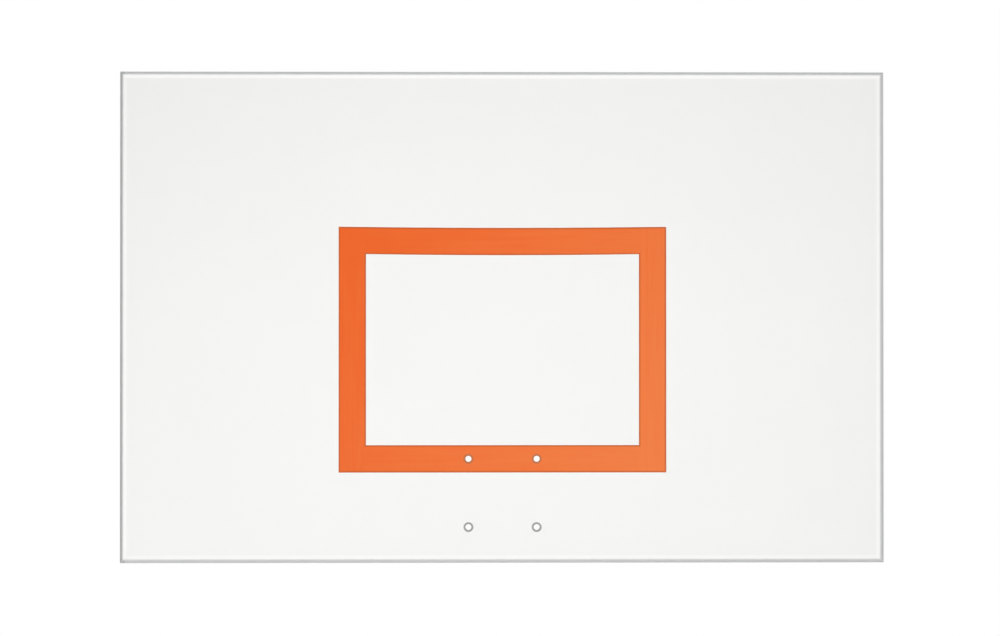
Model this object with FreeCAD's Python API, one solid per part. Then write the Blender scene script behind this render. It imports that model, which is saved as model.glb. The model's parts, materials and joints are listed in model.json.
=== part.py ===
# A rectangular basketball backboard, welded from formed steel sheet.
# The face is one sheet whose four edges fold back into flanges, closed at the corners
# by weld. Behind it stand two upright mount channels, a goal channel that backs the
# four goal bolt holes, two cross stiffeners and four wing stiffeners, all welded on.
# Frame: +X is right and +Z up as a player sees the board, and +Y points behind it.
# The origin is the middle of the goal bolt holes, on the front of the face.
# All sizes are in millimetres.

import FreeCAD
import Part
import math
import os

# Face sheet and flanges: 56 x 36 in, 12 gauge, folded back 1 1/2 in
board_width = 1422.4
board_height = 914.4
flange_depth = 38.1
face_sheet = 2.66
face_bend_radius = 2.66

# Goal bolt holes: 5 x 5 in, 7/16 in across, the lower pair 2 5/8 in above the edge.
# The channel behind has slack round the bolts, so that its holes line up with the face's.
goal_hole_spacing_x = 127.0
goal_hole_spacing_z = 127.0
goal_hole_diameter = 11.1
goal_hole_slack = 3.2
goal_hole_edge = 66.7

# Target: 24 x 18 in outside, 2 in band, whose hand-masked top dips at mid-span
target_width = 609.6
target_height = 457.2
target_band = 50.8
target_film = 0.15
target_top_dip = 2.0

# Mount channels: 12 gauge, on 20 x 24 in bolt centres
mount_hole_spacing_x = 508.0
mount_hole_spacing_z = 609.6
mount_hole_diameter = 11.1
channel_width = 44.4
channel_sheet = 2.66
channel_bend_radius = 3.2

# Goal channel: 3/16 in plate that runs past the goal holes above and below, between
# the mount channels, with its flanges just short of the board's rear plane
goal_channel_margin = 31.75
goal_channel_recess = 3.6
goal_channel_sheet = 4.76
goal_channel_bend_radius = 6.35

# Hat stiffeners: 14 gauge, 1 in deep
hat_depth = 25.4
hat_crown_width = 34.0
hat_mouth_width = 46.0
hat_foot_width = 19.0
hat_sheet = 1.9
hat_bend_radius = 2.5
wing_rows = 2

# Room left at the ends of the pieces that are cut to fit between others
end_clearance = 1.5

# How far a cutting tool runs past what it cuts
tool_past = 10.0

# Corner seams and stitch welds
corner_gap = 1.0
corner_bead_radius = 4.0
stitch_length = 48.0
stitch_pitch = 140.0
stitch_inset = 14.0
stitch_taper = 5.0
foot_bead_radius = 4.2
flare_bead_radius = 5.5
flare_bead_share = 0.4
end_bead_radius = 4.0

# Places worked out from the sizes above
board_bottom = -goal_hole_spacing_z / 2 - goal_hole_edge
board_top = board_bottom + board_height
board_side = board_width / 2
face_back = face_sheet
flange_bend = face_sheet + face_bend_radius
inside_bottom = board_bottom + flange_bend + end_clearance
inside_top = board_top - flange_bend - end_clearance
inside_side = board_side - flange_bend - end_clearance
channel_bend = channel_sheet + channel_bend_radius
goal_channel_bend = goal_channel_sheet + goal_channel_bend_radius
channel_inner = (mount_hole_spacing_x - channel_width) / 2
channel_outer = (mount_hole_spacing_x + channel_width) / 2
mount_middle = board_bottom + board_height / 2
mount_rows = [mount_middle + s * mount_hole_spacing_z / 2 for s in (-1, 1)]
goal_rows = [s * goal_hole_spacing_z / 2 for s in (-1, 1)]
goal_channel_top = goal_hole_spacing_z / 2 + goal_channel_margin
goal_channel_rear = flange_depth - goal_channel_recess
hat_reach = hat_mouth_width / 2 + hat_foot_width
upper_cross_z = mount_rows[1]
middle_cross_z = (goal_channel_top + upper_cross_z) / 2
wing_z = [board_bottom + board_height * (k + 1) / (wing_rows + 1) for k in range(wing_rows)]
SIDES = {"left": -1, "right": 1}


def vector(run_axis, along, across, depth):
    """A point given along a piece's run, across it and behind the front of the face."""
    if run_axis == "X":
        return FreeCAD.Vector(along, depth, across)
    return FreeCAD.Vector(across, depth, along)


def box(low, high):
    """A box between two corners."""
    size = [b - a for a, b in zip(low, high)]
    return Part.makeBox(size[0], size[1], size[2], FreeCAD.Vector(*low))


def bolt_holes(spacing_x, rows, diameter, front, back):
    """Round tools from front to back at both sides of the middle, on the given rows."""
    tools = []
    for side in SIDES.values():
        for z in rows:
            start = FreeCAD.Vector(side * spacing_x / 2, front, z)
            tools.append(Part.makeCylinder(diameter / 2, back - front, start, FreeCAD.Vector(0, 1, 0)))
    return tools


def goal_holes(slack=0):
    """Tools for the goal bolts, through the target and the face, and with slack through the goal channel."""
    front = -target_film - tool_past
    back = face_back + goal_channel_sheet + tool_past
    return bolt_holes(goal_hole_spacing_x, goal_rows, goal_hole_diameter + slack, front, back)


def parallel_points(points, shift):
    """The corners of the open polyline that runs beside this one, shifted to its left."""
    normals = []
    for (a, b), (c, d) in zip(points, points[1:]):
        length = math.hypot(c - a, d - b)
        normals.append((-(d - b) / length, (c - a) / length))
    normals = [normals[0]] + normals + [normals[-1]]
    moved = []
    for (a, b), (p, q), (r, s) in zip(points, normals, normals[1:]):
        reach = shift / (1 + p * r + q * s)
        moved.append((a + (p + r) * reach, b + (q + s) * reach))
    return moved


def turn(before, corner, after):
    """The angle by which a polyline turns at a corner, positive to the left."""
    first = math.atan2(corner[1] - before[1], corner[0] - before[0])
    second = math.atan2(after[1] - corner[1], after[0] - corner[0])
    return (second - first + math.pi) % (2 * math.pi) - math.pi


def bent_edges(points, radii, place):
    """Edges of an open polyline whose inner corners are rounded with the given radii."""
    edges = []
    start = points[0]
    for before, corner, after, radius in zip(points, points[1:], points[2:], radii):
        angle = turn(before, corner, after)
        back = radius * math.tan(abs(angle) / 2)
        first = math.atan2(corner[1] - before[1], corner[0] - before[0])
        second = first + angle
        entry = (corner[0] - back * math.cos(first), corner[1] - back * math.sin(first))
        leave = (corner[0] + back * math.cos(second), corner[1] + back * math.sin(second))
        sense = math.copysign(1, angle)
        centre = (entry[0] - sense * radius * math.sin(first), entry[1] + sense * radius * math.cos(first))
        half = first + angle / 2
        crest = (centre[0] + sense * radius * math.sin(half), centre[1] - sense * radius * math.cos(half))
        edges.append(Part.LineSegment(place(start), place(entry)).toShape())
        edges.append(Part.Arc(place(entry), place(crest), place(leave)).toShape())
        start = leave
    edges.append(Part.LineSegment(place(start), place(points[-1])).toShape())
    return edges


def folded_strip(corners, sheet, inside_radius, run_axis, start, end):
    """A folded sheet: its middle line, as (across, depth) corners, thickened and run along an axis."""

    def place(point):
        return vector(run_axis, start, point[0], point[1])

    bends = [turn(*three) for three in zip(corners, corners[1:], corners[2:])]
    left = parallel_points(corners, sheet / 2)
    right = parallel_points(corners, -sheet / 2)
    left_radii = [inside_radius + (0 if bend > 0 else sheet) for bend in bends]
    right_radii = [inside_radius + (0 if bend < 0 else sheet) for bend in bends]
    edges = bent_edges(left, left_radii, place) + bent_edges(right, right_radii, place)
    edges.append(Part.LineSegment(place(left[0]), place(right[0])).toShape())
    edges.append(Part.LineSegment(place(left[-1]), place(right[-1])).toShape())
    profile = Part.Face(Part.Wire(Part.__sortEdges__(edges)))
    return profile.extrude(vector(run_axis, end - start, 0, 0))


def round_front(solid, radius):
    """Rounds the four edges round the front face of a box."""
    front = solid.BoundBox.YMin
    rim = [e for e in solid.Edges if all(abs(v.Point.y - front) < 1e-6 for v in e.Vertexes)]
    return solid.makeFillet(radius, rim)


def pan_cavity():
    """The space inside the folded face sheet, open at the back."""
    low = (-board_side + face_sheet, face_back, board_bottom + face_sheet)
    high = (board_side - face_sheet, flange_depth + tool_past, board_top - face_sheet)
    return round_front(box(low, high), face_bend_radius)


def pan_shell():
    """The face sheet with its four flanges, before the corners are opened and the holes punched."""
    outside = box((-board_side, 0, board_bottom), (board_side, flange_depth, board_top))
    return round_front(outside, flange_bend).cut(pan_cavity())


def board_corners():
    """Each corner of the board with the signs of its X and Z directions."""
    for sign_x in (-1, 1):
        for sign_z, z in ((-1, board_bottom), (1, board_top)):
            yield sign_x, sign_z, FreeCAD.Vector(sign_x * board_side, flange_bend, z)


def corner_seam(sign_x, sign_z, corner):
    """The mitred gap between two flanges, from the end of their bends to their free edges."""
    inward = FreeCAD.Vector(-sign_x, 0, -sign_z).normalize()
    across = FreeCAD.Vector(sign_z, 0, -sign_x).normalize() * (corner_gap / 2)
    outer = corner - inward * tool_past
    inner = corner + inward * (math.sqrt(2) * face_sheet + tool_past)
    outline = [outer + across, inner + across, inner - across, outer - across, outer + across]
    return Part.Face(Part.makePolygon(outline)).extrude(FreeCAD.Vector(0, flange_depth - flange_bend, 0))


def face_pan():
    """The folded face sheet with its open corner seams and goal bolt holes."""
    pan = pan_shell()
    for corner in board_corners():
        pan = pan.cut(corner_seam(*corner))
    return pan.cut(goal_holes())


def corner_welds():
    """Weld that fills each corner seam flush outside, with a bead along it inside."""
    shell = pan_shell()
    cavity = pan_cavity()
    welds = []
    for sign_x, sign_z, corner in board_corners():
        fill = shell.common(corner_seam(sign_x, sign_z, corner))
        root = corner - FreeCAD.Vector(sign_x * face_sheet, 0, sign_z * face_sheet)
        length = flange_depth - flange_bend
        bead = Part.makeCylinder(corner_bead_radius, length, root, FreeCAD.Vector(0, 1, 0)).common(cavity)
        welds.append(fill.fuse(bead).removeSplitter())
    return welds


def target_outline(half_width, bottom, top):
    """A rectangle on the face whose top side is an arc that dips at mid-span."""
    low_left, low_right = FreeCAD.Vector(-half_width, 0, bottom), FreeCAD.Vector(half_width, 0, bottom)
    top_left, top_right = FreeCAD.Vector(-half_width, 0, top), FreeCAD.Vector(half_width, 0, top)
    dip = FreeCAD.Vector(0, 0, top - target_top_dip)
    sides = [(top_left, low_left), (low_left, low_right), (low_right, top_right)]
    edges = [Part.LineSegment(a, b).toShape() for a, b in sides]
    edges.append(Part.Arc(top_right, dip, top_left).toShape())
    return Part.Face(Part.Wire(Part.__sortEdges__(edges)))


def target_marking():
    """The target's film on the front of the face, its base band centred on the upper goal holes."""
    half = target_width / 2
    bottom = (goal_hole_spacing_z - target_band) / 2
    top = bottom + target_height
    outer = target_outline(half, bottom, top)
    inner = target_outline(half - target_band, bottom + target_band, top - target_band)
    return outer.cut(inner).extrude(FreeCAD.Vector(0, -target_film, 0)).cut(goal_holes())


def mount_channel(side):
    """An upright C channel that opens outwards, with its bolt holes in the rear flange."""
    web = side * (channel_inner + channel_sheet / 2)
    edge = side * channel_outer
    foot = face_back + channel_sheet / 2
    rear = flange_depth - channel_sheet / 2
    corners = [(edge, foot), (web, foot), (web, rear), (edge, rear)]
    strip = folded_strip(corners, channel_sheet, channel_bend_radius, "Z", inside_bottom, inside_top)
    middle = (face_back + flange_depth) / 2
    past = flange_depth + tool_past
    return strip.cut(bolt_holes(mount_hole_spacing_x, mount_rows, mount_hole_diameter, middle, past))


def goal_channel():
    """The plate channel behind the goal holes, its flanges to the rear, between the mount channels."""
    edge = goal_channel_top - goal_channel_sheet / 2
    web = face_back + goal_channel_sheet / 2
    corners = [(edge, goal_channel_rear), (edge, web), (-edge, web), (-edge, goal_channel_rear)]
    bend = goal_channel_bend_radius
    strip = folded_strip(corners, goal_channel_sheet, bend, "X", -channel_inner, channel_inner)
    return strip.cut(goal_holes(goal_hole_slack))


def hat_stiffener(z, start, end):
    """A hat section lying across the back of the face, its feet on the sheet."""
    foot = face_back + hat_sheet / 2
    crown = face_back + hat_depth - hat_sheet / 2
    half_crown, half_mouth = hat_crown_width / 2, hat_mouth_width / 2
    right = [(half_crown, crown), (half_mouth, foot), (hat_reach, foot)]
    left = [(-across, depth) for across, depth in reversed(right)]
    corners = [(z + across, depth) for across, depth in left + right]
    return folded_strip(corners, hat_sheet, hat_bend_radius, "X", start, end)


def stitches(start, end):
    """The middles of the stitch welds along a seam, or none where it is too short for one."""
    room = end - start - 2 * stitch_inset - stitch_length
    if room < 0:
        return []
    count = max(1, round((end - start) / stitch_pitch))
    first = start + stitch_inset + stitch_length / 2
    if count == 1:
        return [first + room / 2]
    return [first + room * k / (count - 1) for k in range(count)]


def bead(run_axis, middle, across, radius):
    """A stitch weld on the back of the face: a half round along its seam, with slanted ends."""
    half = stitch_length / 2
    shoulder = half - stitch_taper
    foot, crest = face_back, face_back + radius
    side_view = [(-half, foot), (half, foot), (shoulder, crest), (-shoulder, crest), (-half, foot)]
    points = [vector(run_axis, middle + along, across - radius, depth) for along, depth in side_view]
    slab = Part.Face(Part.makePolygon(points)).extrude(vector(run_axis, 0, 2 * radius, 0))
    start = vector(run_axis, middle - half, across, face_back)
    return Part.makeCylinder(radius, stitch_length, start, vector(run_axis, 1, 0, 0)).common(slab)


def foot_beads(piece, run_axis, across, start, end):
    """Stitch welds over the free edge of a foot that lies on the face."""
    return [bead(run_axis, middle, across, foot_bead_radius).cut(piece) for middle in stitches(start, end)]


def flare_beads(piece, bend, run_axis, across, open_side, start, end):
    """Stitch welds in the groove where a bend rises from the face, run a share of its radius under it."""
    limits = sorted((across + open_side * flare_bead_radius, across - open_side * flare_bead_share * bend))
    welds = []
    for middle in stitches(start, end):
        low = vector(run_axis, middle - stitch_length, limits[0], face_back)
        high = vector(run_axis, middle + stitch_length, limits[1], flange_depth)
        shape = bead(run_axis, middle, across, flare_bead_radius).common(box(low, high))
        welds.append(shape.cut(piece))
    return welds


def hat_welds(piece, z, start, end):
    """Stitch welds along both feet of a hat stiffener."""
    return [weld for s in (-1, 1) for weld in foot_beads(piece, "X", z + s * hat_reach, start, end)]


def bays(start, end, blocks):
    """The clear lengths of a seam between the pieces that stand against it."""
    edges = [start] + [limit for block in sorted(blocks) for limit in block] + [end]
    return list(zip(edges[0::2], edges[1::2]))


def channel_welds(piece, side):
    """Stitch welds up both sides of a mount channel, in the bays between its neighbours."""
    outer_blocks = [(z - hat_reach, z + hat_reach) for z in wing_z]
    inner_blocks = [(z - hat_reach, z + hat_reach) for z in (middle_cross_z, upper_cross_z)]
    inner_blocks.append((-goal_channel_top, goal_channel_top))
    welds = []
    for start, end in bays(inside_bottom, inside_top, outer_blocks):
        welds += foot_beads(piece, "Z", side * channel_outer, start, end)
    for start, end in bays(inside_bottom, inside_top, inner_blocks):
        welds += flare_beads(piece, channel_bend, "Z", side * channel_inner, -side, start, end)
    return welds


def goal_channel_welds(piece):
    """Stitch welds along both bends of the goal channel, and a bead at each end of its flanges."""
    welds = []
    for s in (-1, 1):
        edge = s * goal_channel_top
        welds += flare_beads(piece, goal_channel_bend, "X", edge, s, -channel_inner, channel_inner)
    front = face_back + channel_bend
    for side in SIDES.values():
        for s in (-1, 1):
            root = FreeCAD.Vector(side * channel_inner, front, s * goal_channel_top)
            length = goal_channel_rear - front
            whole = Part.makeCylinder(end_bead_radius, length, root, FreeCAD.Vector(0, 1, 0))
            open_x = sorted((root.x, root.x - side * end_bead_radius))
            open_z = sorted((root.z, root.z + s * end_bead_radius))
            quarter = box((open_x[0], front, open_z[0]), (open_x[1], goal_channel_rear, open_z[1]))
            welds.append(whole.common(quarter))
    return welds


def build():
    """Every node of the board, by name."""
    nodes = {
        "face_pan": face_pan(),
        "target_marking": target_marking(),
        "goal_channel": goal_channel(),
        "corner_welds": Part.makeCompound(corner_welds()),
    }
    nodes["goal_channel_welds"] = Part.makeCompound(goal_channel_welds(nodes["goal_channel"]))
    cross_start, cross_end = -channel_inner + end_clearance, channel_inner - end_clearance
    cross_welds = []
    for name, z in (("middle", middle_cross_z), ("upper", upper_cross_z)):
        stiffener = hat_stiffener(z, cross_start, cross_end)
        nodes["%s_cross_stiffener" % name] = stiffener
        cross_welds += hat_welds(stiffener, z, cross_start, cross_end)
    nodes["cross_stiffener_welds"] = Part.makeCompound(cross_welds)
    for name, side in SIDES.items():
        channel = mount_channel(side)
        nodes["%s_mount_channel" % name] = channel
        nodes["%s_channel_welds" % name] = Part.makeCompound(channel_welds(channel, side))
        start, end = sorted((side * (channel_outer + end_clearance), side * inside_side))
        wing_welds = []
        for row, z in enumerate(wing_z, 1):
            stiffener = hat_stiffener(z, start, end)
            nodes["%s_wing_stiffener_%d" % (name, row)] = stiffener
            wing_welds += hat_welds(stiffener, z, start, end)
        nodes["%s_wing_welds" % name] = Part.makeCompound(wing_welds)
    return nodes


def export(nodes):
    """Writes one STEP file for each node."""
    os.makedirs("parts", exist_ok=True)
    for name, shape in nodes.items():
        shape.exportStep("parts/%s.step" % name)
        facts = (name, len(shape.Solids), shape.Volume, shape.isValid())
        print("%-26s solids %3d  volume %11.1f  valid %s" % facts)


export(build())
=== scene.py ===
"""Finish of a rectangular steel basketball backboard: coats, target paint, weld beads and studio stage."""

import json
import math
from collections import namedtuple

import bpy
import numpy as np
from bpy.props import FloatProperty, FloatVectorProperty, PointerProperty
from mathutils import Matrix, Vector


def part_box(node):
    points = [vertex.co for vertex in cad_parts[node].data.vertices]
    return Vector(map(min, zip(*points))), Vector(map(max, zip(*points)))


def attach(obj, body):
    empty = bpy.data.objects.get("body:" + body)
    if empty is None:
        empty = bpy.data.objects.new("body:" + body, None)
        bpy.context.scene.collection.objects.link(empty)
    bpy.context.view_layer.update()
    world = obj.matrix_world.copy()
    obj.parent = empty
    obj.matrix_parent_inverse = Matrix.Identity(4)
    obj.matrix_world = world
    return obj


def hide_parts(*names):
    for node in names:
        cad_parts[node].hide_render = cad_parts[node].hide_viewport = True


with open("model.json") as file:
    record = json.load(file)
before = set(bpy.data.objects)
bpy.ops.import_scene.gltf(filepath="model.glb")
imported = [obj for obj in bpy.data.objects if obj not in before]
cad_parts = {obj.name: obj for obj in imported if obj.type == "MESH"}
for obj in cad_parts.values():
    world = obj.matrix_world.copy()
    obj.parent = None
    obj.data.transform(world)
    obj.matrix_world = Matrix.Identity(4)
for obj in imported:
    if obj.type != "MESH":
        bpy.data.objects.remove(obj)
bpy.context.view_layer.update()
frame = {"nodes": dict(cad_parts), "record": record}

bl_info = {
    "name": "Backboard Finish",
    "version": (1, 0, 0),
    "blender": (4, 5, 0),
    "location": "View3D > Sidebar > Backboard",
    "description": "Coats, target paint, weld beads and stage for a folded-steel backboard",
    "category": "Object",
}

# Millimetres in a metre
MM = 1000

# Directions of the frame: X to the right, Y to the rear, Z up
AXES = np.eye(3)
X_AXIS, Y_AXIS, Z_AXIS = AXES

# Places from the frame, in metres from the middle of the goal holes on the front of the face
FACE_LOW, FACE_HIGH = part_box("face_pan")
TARGET_LOW, TARGET_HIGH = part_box("target_marking")
FACE_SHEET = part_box("goal_channel")[0].y
GOAL_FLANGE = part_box("goal_channel")[1].z
GOAL_MOUNT = next(mount for mount in frame["record"]["mounts"] if mount["name"] == "goal_mount")
GOAL_HOLE = GOAL_MOUNT["dims"]["hole_r_mm"] / MM
GOAL_REACH = [GOAL_MOUNT["dims"][key] / 2 / MM for key in ("spacing_x_mm", "spacing_y_mm")]

FOLDED_PARTS = [
    "left_mount_channel",
    "right_mount_channel",
    "middle_cross_stiffener",
    "upper_cross_stiffener",
    "left_wing_stiffener_1",
    "left_wing_stiffener_2",
    "right_wing_stiffener_1",
    "right_wing_stiffener_2",
]

# Each group of stitch welds, with the folded parts that it holds down
STITCHED_PARTS = {
    "left_wing_welds": ["left_wing_stiffener_1", "left_wing_stiffener_2"],
    "right_wing_welds": ["right_wing_stiffener_1", "right_wing_stiffener_2"],
    "cross_stiffener_welds": ["middle_cross_stiffener", "upper_cross_stiffener"],
    "left_channel_welds": ["left_mount_channel"],
    "right_channel_welds": ["right_mount_channel"],
    "goal_channel_welds": ["goal_channel"],
}

# Settings of a Map Range node that eases in and out
SMOOTH = {"interpolation_type": "SMOOTHSTEP"}

# Half widths of the soft edges of the bend's painted shade line, the painted rim shade ring and the painted
# highlight strip, in metres
LINE_BLUR = 0.0025
RING_BLUR = 0.0009
STRIP_BLUR = 0.002

# Depths between which the painted shade and highlight on the bends fade out, in sheet thicknesses behind the
# front
MARKS_FADE, MARKS_END = 1.5, 2.5

# Distances from the target's edges between which the ridge of paint falls away, in ridge widths
RIDGE_CREST, RIDGE_FOOT = 0.5, 1.5

# Values that a noise seldom goes below or above, and the layers of detail in a soft one and in a finer one
NOISE_LOW, NOISE_HIGH = 0.2, 0.8
SOFT_DETAIL, FINE_DETAIL = 3, 4

# How far upwards a surface faces where dust starts to stay on it, and where all of it stays
LEDGE_START, LEDGE_FULL = 0.6, 0.95

# Points round a bead's arc, steps along one of its ripples, and wobbles of the ripples in one swell
ARC_POINTS = 13
RIPPLE_STEPS = 6
WOBBLES_PER_SWELL = 1.7

# Height that a tapered end keeps, and how far back a bead on a foot reaches at least, in bead radii
LEAST_RISE = 0.12
FOOT_REACH = 0.85

# Sweeps of a half round on a foot, of a bead that stops on a bend, and of a fillet in a square corner
HALF_ROUND = math.pi
GROOVE_SWEEP = math.radians(115)
QUARTER_ROUND = math.pi / 2

# Share of a ripple by which each bead is out of step with the last, so that no two look alike
PHASE_STEP = 0.618

# Crest value of a bead's heel and of the middles of its ends, which hardly show
HIDDEN_CREST = 0.5

# Section of a bead: its radius, its arc's sweep, the lobes of its flattening, and the points behind the arc
BeadSection = namedtuple("BeadSection", ["radius", "sweep", "lobes", "heel"])

# Width of the camera's picture frame in millimetres, and how far it sees in metres
SENSOR_WIDTH = 36
SIGHT = 100

# Tints of the plain lamps and of the top lamp
PLAIN_TINT = "#FFFFFF"
COOL_TINT = "#F6FAFF"


def linear(code):
    """Turns an sRGB hex colour into the three linear values that the shaders use."""
    steps = np.array([int(code[i:i + 2], 16) for i in (1, 3, 5)]) / 255
    return np.where(steps > 0.04045, ((steps + 0.055) / 1.055) ** 2.4, steps / 12.92).tolist()


def colour(name, description, code):
    """A colour setting, given as sRGB hex."""
    return FloatVectorProperty(
        name=name, description=description, subtype="COLOR", size=3, min=0, max=1, default=linear(code))


def length(name, description, millimetres):
    """A length setting, given in millimetres and kept in metres."""
    return FloatProperty(
        name=name, description=description, subtype="DISTANCE", unit="LENGTH", min=0,
        default=millimetres / MM)


def share(name, description, default, most=1.0):
    """A setting without a unit."""
    return FloatProperty(
        name=name, description=description, subtype="FACTOR", min=0, max=most, default=default)


class FaceCoatSettings(bpy.types.PropertyGroup):
    """White coat on the face sheet"""
    coat: colour("Coat", "Colour of the powder coat", "#EFEFED")
    shaded_coat: colour("Shaded coat", "Coat where it lies a little thinner, in soft patches", "#EDEEED")
    # The thick coat is a painted highlight in a strip beside the bends
    painted_bend_highlight: colour("Thick coat", "Whiter strip where powder builds up beside the bends", "#FAFAF9")
    # The thin coat is painted shade on the bends, and the weathered coat a darker painted shade on the left
    # bend
    painted_bend_shade: colour("Thin coat", "Grey line on the bends, where the coat draws thin", "#BFC0C0")
    painted_left_bend_shade: colour("Weathered coat", "Darker line on the left bend, which weathered most", "#ADAEAE")
    # The primer colour is painted shade on the rim of each goal hole, and its roughness is that ring's
    # roughness
    rim_shade_grey: colour("Primer", "Grey primer that bolt washers rub bare round the goal holes", "#979796")
    # The bend line and the two extras set the width of the painted bend shade
    bend_line: length("Bend line", "Width of the grey line on the left and upper bends", 5.8)
    right_extra: length("Right extra", "How much wider the line is on the right bend", 1.4)
    lower_extra: length("Lower extra", "How much wider the line is on the lower bend", 1)
    # The thick line is the width of the painted highlight strip, and the two strip shares set its strength on
    # the upright and lower bends
    highlight_strip_width: length("Thick line", "Width of the whiter strip beside the bends", 7)
    side_strip: share("Side strip", "How much of the whiter strip the two upright bends have", 0.5)
    lower_strip: share("Lower strip", "How much of the whiter strip the lower bend has", 0.4)
    # The washer ring is the width of the painted rim shade round each goal hole
    rim_shade_ring: length("Washer ring", "Width of the bare ring round each goal hole", 3.6)
    wander: length("Wander", "How far the edges of these lines wander", 0.5)
    wander_size: length("Wander size", "Step from one wander of these edges to the next", 18)
    patch_size: length("Patch size", "Size of the broad soft patches", 210)
    peel_size: length("Peel size", "Spacing of the coat's orange peel", 5)
    peel_height: length("Peel height", "Height of the coat's orange peel", 0.05)
    roughness: share("Roughness", "Roughness of the satin coat", 0.45)
    sheen_drift: share("Sheen drift", "How far the roughness drifts over the broad patches", 0.05)
    rim_coat_roughness: share("Primer roughness", "Roughness of the bare primer", 0.7)


class TargetPaintSettings(bpy.types.PropertyGroup):
    """Orange target on the face"""
    paint: colour("Paint", "Orange at the upper left, where it kept its depth", "#E56122")
    # The faded paint is a painted sheen that pales the orange towards the lower right
    sheen_paint: colour("Faded paint", "Orange at the lower right, where it is paler", "#E97E44")
    ridge_paint: colour("Ridge paint", "Darker ridge of paint that masking tape leaves", "#BC5A28")
    # The worn paint is painted shade on the rim of each goal hole, where it crosses the target
    rim_shade_paint: colour("Worn paint", "Brown ring that bolt washers leave round the holes", "#B96F49")
    # Fading across, down and in the middle set the slope and level of that painted sheen, with the streaks
    across: share("Fading across", "How much paler the right side is than the left", 0.65)
    down: share("Fading down", "How much paler the lower side is than the upper", 0.3)
    sheen_and_streaks: share("Fading", "How pale the middle is", 0.575)
    streaks: share("Streaks", "How far the roller's streaks lighten and darken the paint", 0.14)
    band: length("Band", "Width of the target's band", 50.8)
    top_dip: length("Top dip", "How far the upper band sags at mid-span", 2)
    ridge: length("Ridge", "Width of the ridge at the edges", 2.6)
    ridge_cover: share("Ridge cover", "How far the ridge hides the paint's own colour", 0.9)
    streak_width: length("Streak width", "Width of the streaks that the roller leaves", 7)
    streak_length: length("Streak length", "Length of the streaks that the roller leaves", 160)
    stipple: length("Stipple", "Spacing of the roller's stipple", 3)
    stipple_height: length("Stipple height", "Height of the roller's stipple", 0.04)
    roughness: share("Roughness", "Roughness of the semi-matt enamel where it kept its depth", 0.42)
    chalky_roughness: share("Chalky roughness", "Roughness of the enamel where it is palest", 0.56)
    rim_enamel_roughness: share("Worn roughness", "Roughness of the rings that bolt washers leave", 0.65)
    gloss: share("Gloss", "Strength of the enamel's reflections, where 0.5 is usual", 0.25)


class FrameCoatSettings(bpy.types.PropertyGroup):
    """White coat on the folded parts behind the face"""
    coat: colour("Coat", "Colour of the powder coat", "#ECEDEB")
    # The corner coat is painted shade deep in the corners, where the coat also lies thinner, and the corner
    # depth is how far it reaches
    shaded_corner_coat: colour("Corner coat", "Coat deep in the corners, where little powder lands", "#D4D5D3")
    dust: colour("Dust", "Fine dust that lies on the ledges", "#B9B3A6")
    dust_cover: share("Dust cover", "How much of a ledge the dust hides", 0.5)
    corner_depth: length("Corner depth", "Distance from a corner over which the coat gets thin", 9)
    cloud_size: length("Cloud size", "Size of the uneven patches in the thin coat and the dust", 30)
    peel_size: length("Peel size", "Spacing of the coat's orange peel", 5)
    peel_height: length("Peel height", "Height of the coat's orange peel", 0.05)
    roughness: share("Roughness", "Roughness of the satin coat", 0.42)
    dust_roughness: share("Dust roughness", "Roughness of the dust", 0.9)


class WeldSettings(bpy.types.PropertyGroup):
    """Weld beads behind the face and in the corners"""
    coat: colour("Coat", "Coat on the crests of the ripples", "#E9EAE8")
    # The valley coat is painted shade in the valleys between the ripples, and the least valley coat is the
    # share of it that every valley gets
    shaded_valley_coat: colour("Valley coat", "Coat between the ripples", "#C4C5C3")
    pitch: length("Ripple pitch", "Step from one ripple to the next", 2.4)
    depth: share("Ripple depth", "Depth of the ripples, in bead radii", 0.07)
    bow: share("Ripple bow", "How far the ripples trail at the bead's toes, in bead radii", 0.7)
    flatness: share("Flatness", "How far the bead's crown lies below a round one, in bead radii", 0.2)
    wobble: share("Ripple wobble", "How far the ripples get out of step, in pitches", 0.3)
    swell: length("Swell", "Step from one slow swelling of the bead to the next", 21)
    thinning: share("Thinning", "How far the bead thins between swellings, in bead radii", 0.06)
    end_taper: length("End taper", "Length over which a stitch rises from the sheet", 5)
    seam_gap: length("Seam gap", "Width of the mitre that the corner welds fill", 1)
    cloud_size: length("Cloud size", "Size of the uneven patches in the valley coat", 6)
    valley_least: share("Least valley coat", "How much of the valley coat every valley has", 0.3)
    spatter_size: length("Spatter size", "Size of the specks under the coat", 2)
    spatter_height: length("Spatter height", "Height of the specks under the coat", 0.05)
    roughness: share("Roughness", "Roughness of the coat on the crests of the ripples", 0.43)
    valley_roughness: share("Valley roughness", "Roughness of the coat between the ripples", 0.6)


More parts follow.
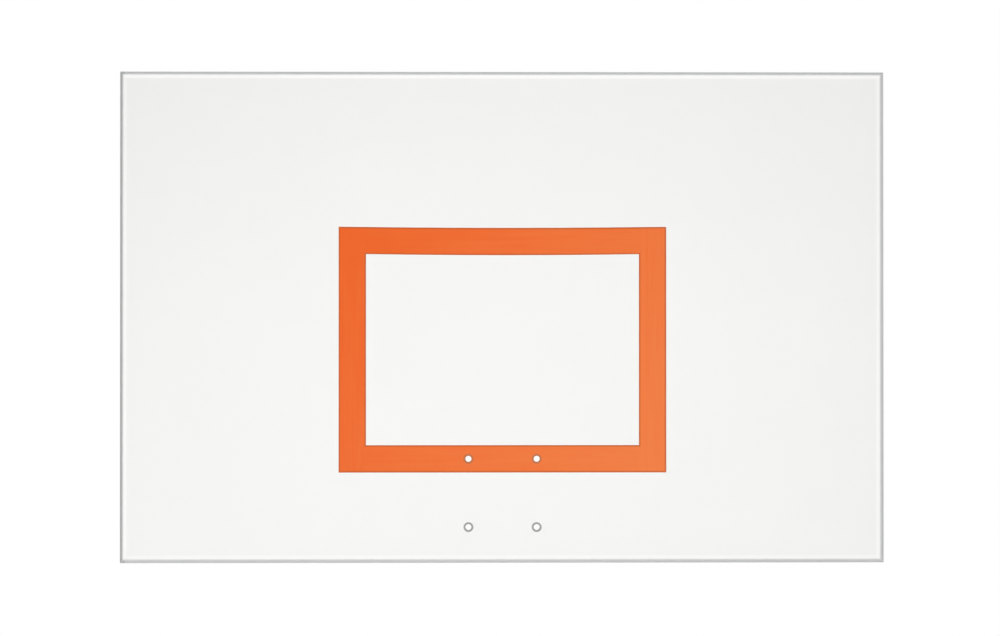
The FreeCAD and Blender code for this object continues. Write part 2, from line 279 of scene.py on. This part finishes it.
class StageSettings(bpy.types.PropertyGroup):
    """Camera, lamps and floor"""
    camera_place: FloatVectorProperty(
        name="Camera place", description="Where the camera stands", subtype="TRANSLATION", unit="LENGTH",
        size=3, default=(-0.0565, -4.3938, 0.3056))
    camera_yaw: FloatProperty(
        name="Camera yaw", description="Turn of the camera to the right", subtype="ANGLE",
        unit="ROTATION", default=math.radians(0.675))
    camera_pitch: FloatProperty(
        name="Camera pitch", description="Tilt of the camera upwards", subtype="ANGLE",
        unit="ROTATION", default=math.radians(0.26))
    lens: FloatProperty(
        name="Lens", description="Focal length on a 36 mm frame", unit="CAMERA", min=1, default=85)
    front_level: share("Front level", "Brightness that the front lamp gives a white face", 0.6, 4)
    rear_level: share("Rear level", "Brightness that the rear lamp gives a white face", 0.4, 4)
    side_level: share("Side level", "Brightness that the side lamp gives a white face", 0.2, 4)
    top_level: share("Top level", "Brightness that the top lamp gives a white floor", 0.25, 4)
    room_level: share("Room level", "Brightness of the room, which lights the object all round", 0.3, 4)
    floor_gap: length("Floor gap", "Height of the board's lower edge over the floor", 250)
    floor_reach: length("Floor reach", "Distance from the middle of the floor to its sides", 8000)
    shadow_start: length("Shadow start", "Distance at which the floor starts to run out into white", 400)
    shadow_end: length("Shadow end", "Distance at which the floor is all white", 800)
    shadow_width: share("Shadow width", "How fast the floor runs out along the board, to across it", 0.45)
    floor_colour: colour("Floor", "Colour of the floor near the object", "#F4F4F2")


def add(tree, kind, *inputs, sockets=None, **settings):
    """Adds one shader node with its settings and links.

    Inputs fill the sockets that the settings leave open, in order, and sockets are filled by name. A value
    can be a number, a colour, another node's socket, or a node, which stands for its first open output."""
    node = tree.nodes.new("ShaderNode" + kind)
    for name, value in settings.items():
        setattr(node, name, value)
    filled = list(zip([socket for socket in node.inputs if socket.enabled], inputs))
    filled += [(node.inputs[name], value) for name, value in (sockets or {}).items()]
    for socket, value in filled:
        if isinstance(value, bpy.types.Node):
            value = next(output for output in value.outputs if output.enabled)
        if isinstance(value, bpy.types.NodeSocket):
            tree.links.new(value, socket)
        elif socket.type == "RGBA":
            socket.default_value = (*value, 1)
        else:
            socket.default_value = value
    return node


def start_material(name):
    """A material with an empty node tree, and the object coordinates that its patterns read."""
    material = bpy.data.materials.new(name)
    material.use_nodes = True
    material.node_tree.nodes.clear()
    place = add(material.node_tree, "TexCoord").outputs["Object"]
    return material, material.node_tree, place


def inset(tree, place, low, high):
    """How far a point lies inside an upright rectangle: from its nearest, its upright and its level sides.

    Taken from the rectangle's middle without its sign, the place is subtracted from half the width and half
    the height, and the lesser of the two remainders is the distance to the nearest side."""
    middle, half = (low + high) / 2, (high - low) / 2
    centred = add(tree, "VectorMath", place, middle, operation="SUBTRACT")
    folded = add(tree, "VectorMath", centred, operation="ABSOLUTE")
    left_over = add(tree, "VectorMath", half, folded, operation="SUBTRACT")
    sides = add(tree, "SeparateXYZ", left_over)
    nearest = add(tree, "Math", sides.outputs["X"], sides.outputs["Z"], operation="MINIMUM")
    return nearest, sides.outputs["X"], sides.outputs["Z"]


def from_goal_hole(tree, place):
    """Distance from a point to the axis of the nearest goal hole.

    Seen along Y, the quarters of the bolt pattern fold onto one by dropping the signs of X and Z, and what is
    left is the distance to that quarter's hole."""
    flat = add(tree, "VectorMath", place, (1, 0, 1), operation="MULTIPLY")
    folded = add(tree, "VectorMath", flat, operation="ABSOLUTE")
    return add(tree, "VectorMath", folded, (GOAL_REACH[0], 0, GOAL_REACH[1]), operation="DISTANCE")


def coat_flow(tree, place, coat):
    """How far the edges of the coat's lines wander at a point."""
    noise = add(tree, "TexNoise", place, 1 / coat.wander_size, FINE_DETAIL)
    return add(tree, "MapRange", noise, 0, 1, -coat.wander, coat.wander)


def rim_shade_ring(tree, place, flow, coat):
    """One inside the painted shade ring on each goal hole's rim, with an edge that wanders with the coat's
    flow.
    """
    ring = GOAL_HOLE + coat.rim_shade_ring
    reach = add(tree, "Math", from_goal_hole(tree, place), flow, operation="ADD")
    return add(tree, "MapRange", reach, ring - RING_BLUR, ring + RING_BLUR, 1, 0, **SMOOTH)


def coat_shader(tree, place, tone, roughness, peel_size, peel_height, **sockets):
    """The shader of a paint coat with an orange peel, joined to the material's output."""
    peel = add(tree, "TexNoise", place, 1 / peel_size)
    normal = add(tree, "Bump", sockets={"Height": peel, "Distance": peel_height})
    shader = add(tree, "BsdfPrincipled", sockets={
        "Base Color": tone, "Roughness": roughness, "Normal": normal, **sockets})
    add(tree, "OutputMaterial", shader)


def bend_shade_and_highlight(tree, place, flow, s):
    """Painted light at the bends on the face: the cover of a thin line of painted shade, its tone, and the
    cover of a whiter strip of painted highlight.

    The line ends at its width from the board's nearest side, give or take the coat's flow. Its painted shade
    is darker on the left, and its right and lower sides count from further in. The strip ends at its own
    width past the line, and weakens from the upper bend to the lower one and on the upright bends. Both fade
    out where the flanges start."""
    low = FACE_LOW + Vector((0, 0, s.lower_extra))
    high = FACE_HIGH - Vector((s.right_extra, 0, 0))
    nearest, from_upright, from_level = inset(tree, place, low, high)
    edge = add(tree, "Math", nearest, flow, operation="ADD")
    spot = add(tree, "SeparateXYZ", place)
    fade, end = FACE_SHEET * MARKS_FADE, FACE_SHEET * MARKS_END
    in_front = add(tree, "MapRange", spot.outputs["Y"], fade, end, 1, 0, **SMOOTH)
    line = add(tree, "MapRange", edge, s.bend_line - LINE_BLUR, s.bend_line + LINE_BLUR, 1, 0, **SMOOTH)
    thin = add(tree, "Math", in_front, line, operation="MULTIPLY")
    left_end = FACE_LOW.x + s.bend_line + LINE_BLUR
    on_left = add(tree, "MapRange", spot.outputs["X"], left_end, left_end + STRIP_BLUR, 1, 0, **SMOOTH)
    bend_shade_tone = add(tree, "Mix", on_left, s.painted_bend_shade, s.painted_left_bend_shade, data_type="RGBA")
    strip_end = s.bend_line + s.highlight_strip_width
    inner, outer = strip_end - STRIP_BLUR, strip_end + STRIP_BLUR
    strength = add(tree, "MapRange", spot.outputs["Z"], FACE_LOW.z, FACE_HIGH.z, s.lower_strip, 1)
    level_strip = add(tree, "MapRange", from_level, inner, outer, strength, 0, **SMOOTH)
    side_strip = add(tree, "MapRange", from_upright, inner, outer, s.side_strip, 0, **SMOOTH)
    strip = add(tree, "Math", level_strip, side_strip, operation="MAXIMUM")
    highlight_cover = add(tree, "Math", in_front, strip, operation="MULTIPLY")
    return thin, bend_shade_tone, highlight_cover


def face_coat(s):
    """White powder coat on the face sheet."""
    # Polyester powder baked on folded steel: satin white with a soft orange peel and broad faint patches, in
    # which its tone and sheen drift. A thin grey line on the bends is painted shade, darker on the left, and
    # a whiter strip beside it is a painted highlight, strongest on the upper bend. A grey ring round each
    # goal hole is painted shade on the hole's rim, and is matt.
    material, tree, place = start_material("white_powder_coat_on_folded_steel")
    flow = coat_flow(tree, place, s)
    thin, bend_shade_tone, highlight_cover = bend_shade_and_highlight(tree, place, flow, s)
    rim_shade = rim_shade_ring(tree, place, flow, s)
    patches = add(tree, "TexNoise", place, 1 / s.patch_size, SOFT_DETAIL)
    tone = add(tree, "Mix", patches, s.coat, s.shaded_coat, data_type="RGBA")
    tone = add(tree, "Mix", highlight_cover, tone, s.painted_bend_highlight, data_type="RGBA")
    tone = add(tree, "Mix", thin, tone, bend_shade_tone, data_type="RGBA")
    tone = add(tree, "Mix", rim_shade, tone, s.rim_shade_grey, data_type="RGBA")
    least, most = s.roughness - s.sheen_drift, s.roughness + s.sheen_drift
    sheen = add(tree, "MapRange", patches, NOISE_LOW, NOISE_HIGH, least, most)
    roughness = add(tree, "Mix", rim_shade, sheen, s.rim_coat_roughness, data_type="FLOAT")
    coat_shader(tree, place, tone, roughness, s.peel_size, s.peel_height)
    return material


def straightened(tree, place, s):
    """A point on the target, lifted so that the sagging upper band is straight again.

    The sag is the dip times one less the square of X over half the width, and lifts the upper half alone."""
    spot = add(tree, "SeparateXYZ", place)
    x, z = spot.outputs["X"], spot.outputs["Z"]
    squared = add(tree, "Math", x, x, operation="MULTIPLY")
    sag = add(tree, "Math", squared, -s.top_dip / TARGET_HIGH.x ** 2, s.top_dip, operation="MULTIPLY_ADD")
    upper = add(tree, "Math", z, (TARGET_LOW.z + TARGET_HIGH.z) / 2, operation="GREATER_THAN")
    lifted = add(tree, "Math", sag, upper, z, operation="MULTIPLY_ADD")
    return add(tree, "CombineXYZ", x, 0, lifted)


def paint_sheen_and_streaks(tree, place, from_upright, s):
    """How pale the target's paint is: a painted sheen that pales it to the right and downwards, plus the
    roller's streaks.

    The streaks are a noise drawn out along each band, upright within a band's width of the upright sides."""
    size = TARGET_HIGH - TARGET_LOW
    slope = add(tree, "VectorMath", place, (s.across / size.x, 0, -s.down / size.z), operation="DOT_PRODUCT")
    fine, drawn = 1 / s.streak_width, 1 / s.streak_length
    level_place = add(tree, "VectorMath", place, (drawn, 0, fine), operation="MULTIPLY")
    side_place = add(tree, "VectorMath", place, (fine, 0, drawn), operation="MULTIPLY")
    on_side = add(tree, "Math", from_upright, s.band, operation="LESS_THAN")
    streak_place = add(tree, "Mix", on_side, level_place, side_place, data_type="VECTOR")
    noise = add(tree, "TexNoise", streak_place, 1)
    least, most = s.sheen_and_streaks - s.streaks, s.sheen_and_streaks + s.streaks
    streaks = add(tree, "MapRange", noise, NOISE_LOW, NOISE_HIGH, least, most)
    return add(tree, "Math", slope, streaks, operation="ADD", use_clamp=True)


def target_enamel(s, face):
    """Orange enamel of the target, over the face's coat."""
    # Alkyd enamel rolled on between masking tapes: semi-matt orange with a roller stipple, with a painted
    # sheen that pales it towards the lower right, where it is also chalkier, a thin darker ridge where the
    # tape was pulled off, and a brown ring of painted shade on each hole's rim, which is matt. A real stipple
    # is about 1 mm apart, and is drawn coarser so that it shows.
    material, tree, place = start_material("orange_rolled_enamel")
    straight = straightened(tree, place, s)
    band = Vector((s.band, 0, s.band))
    outer, from_upright = inset(tree, straight, TARGET_LOW, TARGET_HIGH)[:2]
    inner = inset(tree, straight, TARGET_LOW + band, TARGET_HIGH - band)[0]
    outside = add(tree, "Math", inner, -1, operation="MULTIPLY")
    rim = add(tree, "Math", outer, outside, operation="MINIMUM")
    crest, foot = s.ridge * RIDGE_CREST, s.ridge * RIDGE_FOOT
    ridge = add(tree, "MapRange", rim, crest, foot, s.ridge_cover, 0, **SMOOTH)
    sheen_and_streaks = paint_sheen_and_streaks(tree, place, from_upright, s)
    rim_shade = rim_shade_ring(tree, place, coat_flow(tree, place, face), face)
    tone = add(tree, "Mix", sheen_and_streaks, s.paint, s.sheen_paint, data_type="RGBA")
    tone = add(tree, "Mix", ridge, tone, s.ridge_paint, data_type="RGBA")
    tone = add(tree, "Mix", rim_shade, tone, s.rim_shade_paint, data_type="RGBA")
    sheen = add(tree, "Mix", sheen_and_streaks, s.roughness, s.chalky_roughness, data_type="FLOAT")
    roughness = add(tree, "Mix", rim_shade, sheen, s.rim_enamel_roughness, data_type="FLOAT")
    gloss = {"Specular IOR Level": s.gloss}
    coat_shader(tree, place, tone, roughness, s.stipple, s.stipple_height, **gloss)
    return material


def frame_coat(s, name, corner, across):
    """White powder coat on folded parts, greyed towards the corners that they make with the face by painted
    shade and a thinner coat.

    A corner is a line, given as one of its points and a mask of the axes across it. The place loses its signs
    and what the mask leaves out, and its distance to that point is the distance to the corner."""
    # The same powder on channels and hat sections: satin white, greyer deep in the corners by painted shade
    # and where little powder lands, with a trace of matt dust on the ledges.
    material, tree, place = start_material(name)
    folded = add(tree, "VectorMath", place, operation="ABSOLUTE")
    flat = add(tree, "VectorMath", folded, across, operation="MULTIPLY")
    reach = add(tree, "VectorMath", flat, corner, operation="DISTANCE")
    deep = add(tree, "MapRange", reach, 0, s.corner_depth, 1, 0, **SMOOTH)
    cloud = add(tree, "TexNoise", place, 1 / s.cloud_size, FINE_DETAIL)
    upward = add(tree, "SeparateXYZ", add(tree, "NewGeometry").outputs["Normal"]).outputs["Z"]
    ledge = add(tree, "MapRange", upward, LEDGE_START, LEDGE_FULL, 0, s.dust_cover, **SMOOTH)
    # Painted shade deep in the corners, in uneven patches
    bare = add(tree, "Math", deep, cloud, operation="MULTIPLY")
    dusty = add(tree, "Math", ledge, cloud, operation="MULTIPLY")
    tone = add(tree, "Mix", bare, s.coat, s.shaded_corner_coat, data_type="RGBA")
    tone = add(tree, "Mix", dusty, tone, s.dust, data_type="RGBA")
    roughness = add(tree, "Mix", dusty, s.roughness, s.dust_roughness, data_type="FLOAT")
    coat_shader(tree, place, tone, roughness, s.peel_size, s.peel_height)
    return material


def weld_coat(s):
    """White powder coat over the weld beads."""
    # Powder over a rippled bead: satin white on the crests, greyer in the valleys between them by painted
    # shade, and duller there.
    material, tree, place = start_material("white_powder_coat_on_weld")
    crest = add(tree, "Attribute", attribute_name="crest").outputs["Fac"]
    noise = add(tree, "TexNoise", place, 1 / s.cloud_size, SOFT_DETAIL)
    cloud = add(tree, "Math", noise, s.valley_least, operation="ADD")
    hollow = add(tree, "Math", 1, crest, operation="SUBTRACT")
    # The valley mask carries painted shade between the ripples
    valley = add(tree, "Math", hollow, cloud, operation="MULTIPLY", use_clamp=True)
    tone = add(tree, "Mix", valley, s.coat, s.shaded_valley_coat, data_type="RGBA")
    roughness = add(tree, "Mix", valley, s.roughness, s.valley_roughness, data_type="FLOAT")
    coat_shader(tree, place, tone, roughness, s.spatter_size, s.spatter_height)
    return material


def dress(nodes, material):
    """Gives CAD nodes their finished material."""
    for node in nodes:
        frame["nodes"][node].data.materials.clear()
        frame["nodes"][node].data.materials.append(material)


def solids_of(node):
    """Boxes of the separate solids in a node's mesh, as pairs of low and high corners.

    Vertices at one place share a number. Each triangle hands its lowest number to its three corners, over and
    over until nothing changes, and the places that end with one number are one solid."""
    mesh = frame["nodes"][node].data
    points = np.empty(len(mesh.vertices) * 3)
    mesh.vertices.foreach_get("co", points)
    corners = np.empty(len(mesh.loops), np.int32)
    mesh.loops.foreach_get("vertex_index", corners)
    places, number = np.unique(points.reshape(-1, 3).round(6), axis=0, return_inverse=True)
    triangles = number.ravel()[corners].reshape(-1, 3)
    label = np.arange(len(places))
    settled = False
    while not settled:
        lowest = label.copy()
        np.minimum.at(lowest, triangles, label[triangles].min(axis=1)[:, None])
        settled = np.array_equal(lowest, label)
        label = lowest
    return [(places[label == k].min(axis=0), places[label == k].max(axis=0)) for k in np.unique(label)]


def box_corner(low, high, side, level, depth):
    """The corner of a box that lies on the given sides of it in X and Z, at a depth along Y."""
    return np.array([(high if side > 0 else low).x, depth, (high if level > 0 else low).z])


def bead_surface(s, root, run, out, up, section, taper, phase):
    """One weld bead: its points, quads, end triangles and crest values.

    The surface has two parameters, u along the run and phi round the bead. Its point is the root line at u,
    plus radius times cos phi outwards, plus radius times sin phi upwards. The radius is flattened by the
    square of sin(lobes times phi), so that a fillet between two walls keeps both toes. It shrinks in ripples,
    whose valleys lie where u plus a bow times (1 - sin phi) is a whole number of pitches, give or take a slow
    wobble, and in a slow swell along u. At a tapered end it shrinks as a quarter ellipse. The heel's points
    close the section behind the arc, and a middle point closes each end."""
    radius, sweep, lobes, heel = section
    distance = np.linalg.norm(run)
    count = max(int(distance / s.pitch * RIPPLE_STEPS), RIPPLE_STEPS)
    u = np.linspace(0, distance, count)[:, None]
    phi = np.linspace(0, sweep, ARC_POINTS)[None, :]
    slow = 2 * np.pi * (u / s.swell + phase)
    wobble = s.wobble * np.sin(WOBBLES_PER_SWELL * slow)
    step = (u + s.bow * radius * (1 - np.sin(phi))) / s.pitch + wobble + phase
    valley = (1 - np.abs(np.sin(np.pi * step))) ** 2
    swell = 1 - s.thinning * (1 + np.cos(slow)) / 2
    near_end = np.minimum(u, distance - u) / taper if taper else np.ones_like(u)
    rise = np.sqrt(np.maximum(1 - np.clip(1 - near_end, 0, 1) ** 2, LEAST_RISE ** 2))
    r = radius * rise * swell * (1 - s.depth * valley) * (1 - s.flatness * np.sin(lobes * phi) ** 2)
    outward = np.concatenate([r * np.cos(phi), rise * heel[:, 0]], axis=1)
    upward = np.concatenate([r * np.sin(phi), rise * heel[:, 1]], axis=1)
    crest = np.concatenate([1 - valley, np.full((count, len(heel)), HIDDEN_CREST)], axis=1)
    rings = root + u[:, :, None] * run / distance + outward[:, :, None] * out + upward[:, :, None] * up
    width = rings.shape[1]
    points = np.concatenate([rings.reshape(-1, 3), rings[[0, -1]].mean(axis=1)])
    here = np.arange(count * width).reshape(count, width)
    there = np.roll(here, -1, axis=1)
    first, last = np.full(width, count * width), np.full(width, count * width + 1)
    quads = np.stack([here[:-1], there[:-1], there[1:], here[1:]], axis=-1).reshape(-1, 4)
    start_cap = np.stack([there[0], here[0], first], axis=-1)
    end_cap = np.stack([here[-1], there[-1], last], axis=-1)
    caps = np.concatenate([start_cap, end_cap])
    if np.dot(np.cross(run, out), up) < 0:
        quads, caps = quads[:, ::-1], caps[:, ::-1]
    return points, quads, caps, np.concatenate([crest.ravel(), [HIDDEN_CREST, HIDDEN_CREST]])


def stitch_bead(s, low, high, parts, phase):
    """A stitch between the face and the edge of a folded part, along X or Z.

    Its root line is the nearest edge of its part. At a foot's edge it is a half round. Beside a bend it is an
    arc that stops on the bend, with its heel in the groove under it."""
    middle, size = (low + high) / 2, high - low
    along, across = (0, 2) if size[0] > size[2] else (2, 0)
    edges = [corner[across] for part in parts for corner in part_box(part)]
    edge = min(edges, key=lambda at: abs(at - middle[across]))
    out_reach, back_reach = high[across] - edge, edge - low[across]
    out = AXES[across] * np.sign(out_reach - back_reach)
    radius, groove = max(out_reach, back_reach), min(out_reach, back_reach)
    root = Y_AXIS * FACE_SHEET + AXES[along] * low[along] + AXES[across] * edge
    # A half round on a foot reaches back over the foot nearly as far as it reaches out
    if groove > radius * FOOT_REACH:
        section = BeadSection(radius, HALF_ROUND, lobes=1, heel=np.empty((0, 2)))
    else:
        section = BeadSection(radius, GROOVE_SWEEP, lobes=2, heel=np.array([[-groove, 0]]))
    return bead_surface(s, root, AXES[along] * size[along], out, Y_AXIS, section, s.end_taper, phase)


def end_bead(s, low, high, parts, phase):
    """A quarter round along Y, in the corner between the goal channel's flange and a mount channel."""
    middle, size = (low + high) / 2, high - low
    side, level = np.sign(middle[0]), np.sign(middle[2])
    root = box_corner(*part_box(parts[0]), side, level, low[1])
    out, up, run = -X_AXIS * side, Z_AXIS * level, Y_AXIS * size[1]
    section = BeadSection(size[0], QUARTER_ROUND, lobes=2, heel=np.zeros((1, 2)))
    return bead_surface(s, root, run, out, up, section, s.end_taper, phase)


def corner_bead(s, low, high, phase):
    """A weld along Y in a corner of the flanges: a quarter round inside, and the mitre of the sheets filled.

    The heel's points go along one side of the mitre to the board's corner, and back along its other side."""
    size = high - low
    side, level = np.sign((low + high)[0]), np.sign((low + high - FACE_LOW - FACE_HIGH)[2])
    out, up, run = -X_AXIS * side, -Z_AXIS * level, Y_AXIS * size[1]
    root = box_corner(FACE_LOW, FACE_HIGH, side, level, low[1]) + FACE_SHEET * (out + up)
    gap, sheet = s.seam_gap / math.sqrt(2), FACE_SHEET
    heel = np.array([[0, gap], [-sheet, gap - sheet], [-sheet, -sheet], [gap - sheet, -sheet], [gap, 0]])
    section = BeadSection(size[0] - sheet, QUARTER_ROUND, lobes=2, heel=heel)
    return bead_surface(s, root, run, out, up, section, taper=0, phase=phase)


def weld_piece(node, beads, material):
    """Joins the beads of one weld node into a piece that stands for it.

    The faces of a bead count their points on from the end of the bead before."""
    points, quads, caps, crests = zip(*beads)
    starts = np.cumsum([0] + [len(bead) for bead in points[:-1]])
    quads = np.concatenate([faces + start for faces, start in zip(quads, starts)])
    caps = np.concatenate([faces + start for faces, start in zip(caps, starts)])
    mesh = bpy.data.meshes.new(node + "_beads")
    mesh.from_pydata(np.concatenate(points).tolist(), [], quads.tolist() + caps.tolist())
    crest = mesh.attributes.new("crest", "FLOAT", "POINT")
    crest.data.foreach_set("value", np.concatenate(crests).astype(np.float32))
    mesh.polygons.foreach_set("use_smooth", np.ones(len(mesh.polygons), dtype=bool))
    mesh.materials.append(material)
    piece = bpy.data.objects.new(node + "_beads", mesh)
    bpy.context.scene.collection.objects.link(piece)
    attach(piece, "root")
    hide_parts(node)


def white_when_seen(tree):
    """One for rays from the eye, from a reflection or through glass, nought for rays that carry light."""
    path = add(tree, "LightPath")
    eye, mirror = path.outputs["Is Camera Ray"], path.outputs["Is Glossy Ray"]
    seen = add(tree, "Math", eye, mirror, operation="MAXIMUM")
    return add(tree, "Math", seen, path.outputs["Is Transmission Ray"], operation="MAXIMUM")


def floor_material(s):
    """Pale seamless floor, which shows the object's shadow near it and runs out into white."""
    # Matt paper: it keeps the shadow under the board, and further out it is plain white to the eye.
    material, tree, place = start_material("pale_studio_paper")
    flat = add(tree, "VectorMath", place, (s.shadow_width, 1, 0), operation="MULTIPLY")
    reach = add(tree, "VectorMath", flat, operation="LENGTH")
    away = add(tree, "MapRange", reach, s.shadow_start, s.shadow_end, 0, 1, **SMOOTH)
    white = add(tree, "Math", white_when_seen(tree), away, operation="MULTIPLY")
    paper = add(tree, "BsdfDiffuse", s.floor_colour)
    glow = add(tree, "Emission", (1, 1, 1), 1)
    add(tree, "OutputMaterial", add(tree, "MixShader", white, paper, glow))
    return material


def place_camera(scene, s):
    """A camera at the settings' place, turned and tilted from a level view along Y."""
    camera = bpy.data.objects.new("camera", bpy.data.cameras.new("camera"))
    camera.data.lens = s.lens
    camera.data.sensor_width = SENSOR_WIDTH
    camera.data.clip_end = SIGHT
    camera.location = s.camera_place
    camera.rotation_euler = (math.pi / 2 + s.camera_pitch, 0, -s.camera_yaw)
    scene.collection.objects.link(camera)
    scene.camera = camera


def lamp(name, level, place, aim, size, tint=PLAIN_TINT, glare=True):
    """A soft lamp that gives a white surface at its aim the stated brightness.

    For a round lamp of the same area, the power is the level times pi squared times the sum of the distance
    squared and the area over pi."""
    width, height = size
    light = bpy.data.lights.new(name, "AREA")
    light.shape = "RECTANGLE"
    light.size, light.size_y = width, height
    light.color = linear(tint)
    throw = Vector(aim) - Vector(place)
    light.energy = level * math.pi ** 2 * (throw.length_squared + width * height / math.pi)
    rig = bpy.data.objects.new(name, light)
    rig.location = place
    rig.rotation_euler = throw.to_track_quat("-Z", "Y").to_euler()
    rig.visible_camera = False
    rig.visible_glossy = glare
    bpy.context.scene.collection.objects.link(rig)


def hang_lamps(s, floor_level):
    """Lamps before, behind, beside and above the board, with their places, aims and sizes in metres."""
    # The front lamp stands where the flat face would mirror it, so it is polarised to give no glare
    lamp("front_lamp", s.front_level, (0, -3.2, 0), aim=(0, 0, 0), size=(2.2, 0.7), glare=False)
    lamp("rear_lamp", s.rear_level, (-2.4, 2.2, 2.3), aim=(0, 0, 0.33), size=(1.6, 1.6))
    lamp("side_lamp", s.side_level, (2.9, 0.9, 0.9), aim=(0.4, 0, 0.33), size=(1.2, 1.6))
    lamp("top_lamp", s.top_level, (0, 0.7, 3.2), aim=(0, 0.2, floor_level), size=(3, 3), tint=COOL_TINT)


def white_room(s):
    """A room that lights the object softly from all round and is plain white to the eye."""
    world = bpy.data.worlds.new("white_room")
    world.use_nodes = True
    tree = world.node_tree
    tree.nodes.clear()
    strength = add(tree, "MapRange", white_when_seen(tree), 0, 1, s.room_level, 1)
    add(tree, "OutputWorld", add(tree, "Background", (1, 1, 1), strength))
    return world


def lay_floor(scene, s, floor_level):
    """A flat square floor under the board."""
    corners = np.array([[-1, -1, 0], [1, -1, 0], [1, 1, 0], [-1, 1, 0]]) * s.floor_reach
    mesh = bpy.data.meshes.new("floor")
    mesh.from_pydata((corners + Z_AXIS * floor_level).tolist(), [], [(0, 1, 2, 3)])
    mesh.materials.append(floor_material(s))
    floor = bpy.data.objects.new("floor", mesh)
    scene.collection.objects.link(floor)


class BACKBOARD_OT_coat_face(bpy.types.Operator):
    """Coat the folded face sheet white"""
    bl_idname = "backboard.coat_face"
    bl_label = "Coat Face"

    def execute(self, context):
        dress(["face_pan"], face_coat(context.scene.backboard_face))
        return {"FINISHED"}


class BACKBOARD_OT_paint_target(bpy.types.Operator):
    """Paint the orange target"""
    bl_idname = "backboard.paint_target"
    bl_label = "Paint Target"

    def execute(self, context):
        scene = context.scene
        dress(["target_marking"], target_enamel(scene.backboard_target, scene.backboard_face))
        return {"FINISHED"}


class BACKBOARD_OT_coat_frame(bpy.types.Operator):
    """Coat the channels and stiffeners behind the face white"""
    bl_idname = "backboard.coat_frame"
    bl_label = "Coat Channels and Stiffeners"

    def execute(self, context):
        s = context.scene.backboard_frame
        at_feet, at_flange = (0, FACE_SHEET, 0), (0, FACE_SHEET, GOAL_FLANGE)
        dress(FOLDED_PARTS, frame_coat(s, "white_powder_coat_on_folded_parts", at_feet, (0, 1, 0)))
        dress(["goal_channel"], frame_coat(s, "white_powder_coat_on_goal_channel", at_flange, (0, 1, 1)))
        return {"FINISHED"}


class BACKBOARD_OT_lay_welds(bpy.types.Operator):
    """Lay rippled beads where the stitch welds and corner welds are"""
    bl_idname = "backboard.lay_welds"
    bl_label = "Lay Weld Beads"

    def execute(self, context):
        s = context.scene.backboard_welds
        material = weld_coat(s)
        for node, parts in STITCHED_PARTS.items():
            beads = []
            for low, high in solids_of(node):
                kind = end_bead if np.argmax(high - low) == 1 else stitch_bead
                beads.append(kind(s, low, high, parts, len(beads) * PHASE_STEP))
            weld_piece(node, beads, material)
        corners = solids_of("corner_welds")
        beads = [corner_bead(s, low, high, k * PHASE_STEP) for k, (low, high) in enumerate(corners)]
        weld_piece("corner_welds", beads, material)
        return {"FINISHED"}


class BACKBOARD_OT_set_stage(bpy.types.Operator):
    """Set the camera, the soft lamps, the white room and the pale floor"""
    bl_idname = "backboard.set_stage"
    bl_label = "Set Stage"

    def execute(self, context):
        scene = context.scene
        s = scene.backboard_stage
        floor_level = FACE_LOW.z - s.floor_gap
        scene.view_settings.view_transform = "Standard"
        place_camera(scene, s)
        hang_lamps(s, floor_level)
        scene.world = white_room(s)
        lay_floor(scene, s, floor_level)
        return {"FINISHED"}


class BACKBOARD_PT_finish(bpy.types.Panel):
    """Lists the steps of the finish with their settings"""
    bl_idname = "BACKBOARD_PT_finish"
    bl_label = "Backboard Finish"
    bl_space_type = "VIEW_3D"
    bl_region_type = "UI"
    bl_category = "Backboard"

    def draw(self, context):
        for name, (group, operator) in STEPS.items():
            box = self.layout.box()
            box.operator(operator.bl_idname)
            settings = getattr(context.scene, name)
            for setting in group.__annotations__:
                box.prop(settings, setting)


# Each step of the finish: the name of its settings on the scene, their group and its operator
STEPS = {
    "backboard_face": (FaceCoatSettings, BACKBOARD_OT_coat_face),
    "backboard_target": (TargetPaintSettings, BACKBOARD_OT_paint_target),
    "backboard_frame": (FrameCoatSettings, BACKBOARD_OT_coat_frame),
    "backboard_welds": (WeldSettings, BACKBOARD_OT_lay_welds),
    "backboard_stage": (StageSettings, BACKBOARD_OT_set_stage),
}


def register():
    """Registers the settings, the steps and the panel."""
    for name, (group, operator) in STEPS.items():
        bpy.utils.register_class(group)
        bpy.utils.register_class(operator)
        setattr(bpy.types.Scene, name, PointerProperty(type=group))
    bpy.utils.register_class(BACKBOARD_PT_finish)


def unregister():
    """Takes the panel, the steps and the settings away again."""
    bpy.utils.unregister_class(BACKBOARD_PT_finish)
    for name, (group, operator) in reversed(STEPS.items()):
        delattr(bpy.types.Scene, name)
        bpy.utils.unregister_class(operator)
        bpy.utils.unregister_class(group)


def main():
    """Runs every step in order."""
    register()
    bpy.ops.backboard.coat_face()
    bpy.ops.backboard.paint_target()
    bpy.ops.backboard.coat_frame()
    bpy.ops.backboard.lay_welds()
    bpy.ops.backboard.set_stage()


if __name__ == "__main__":
    main()
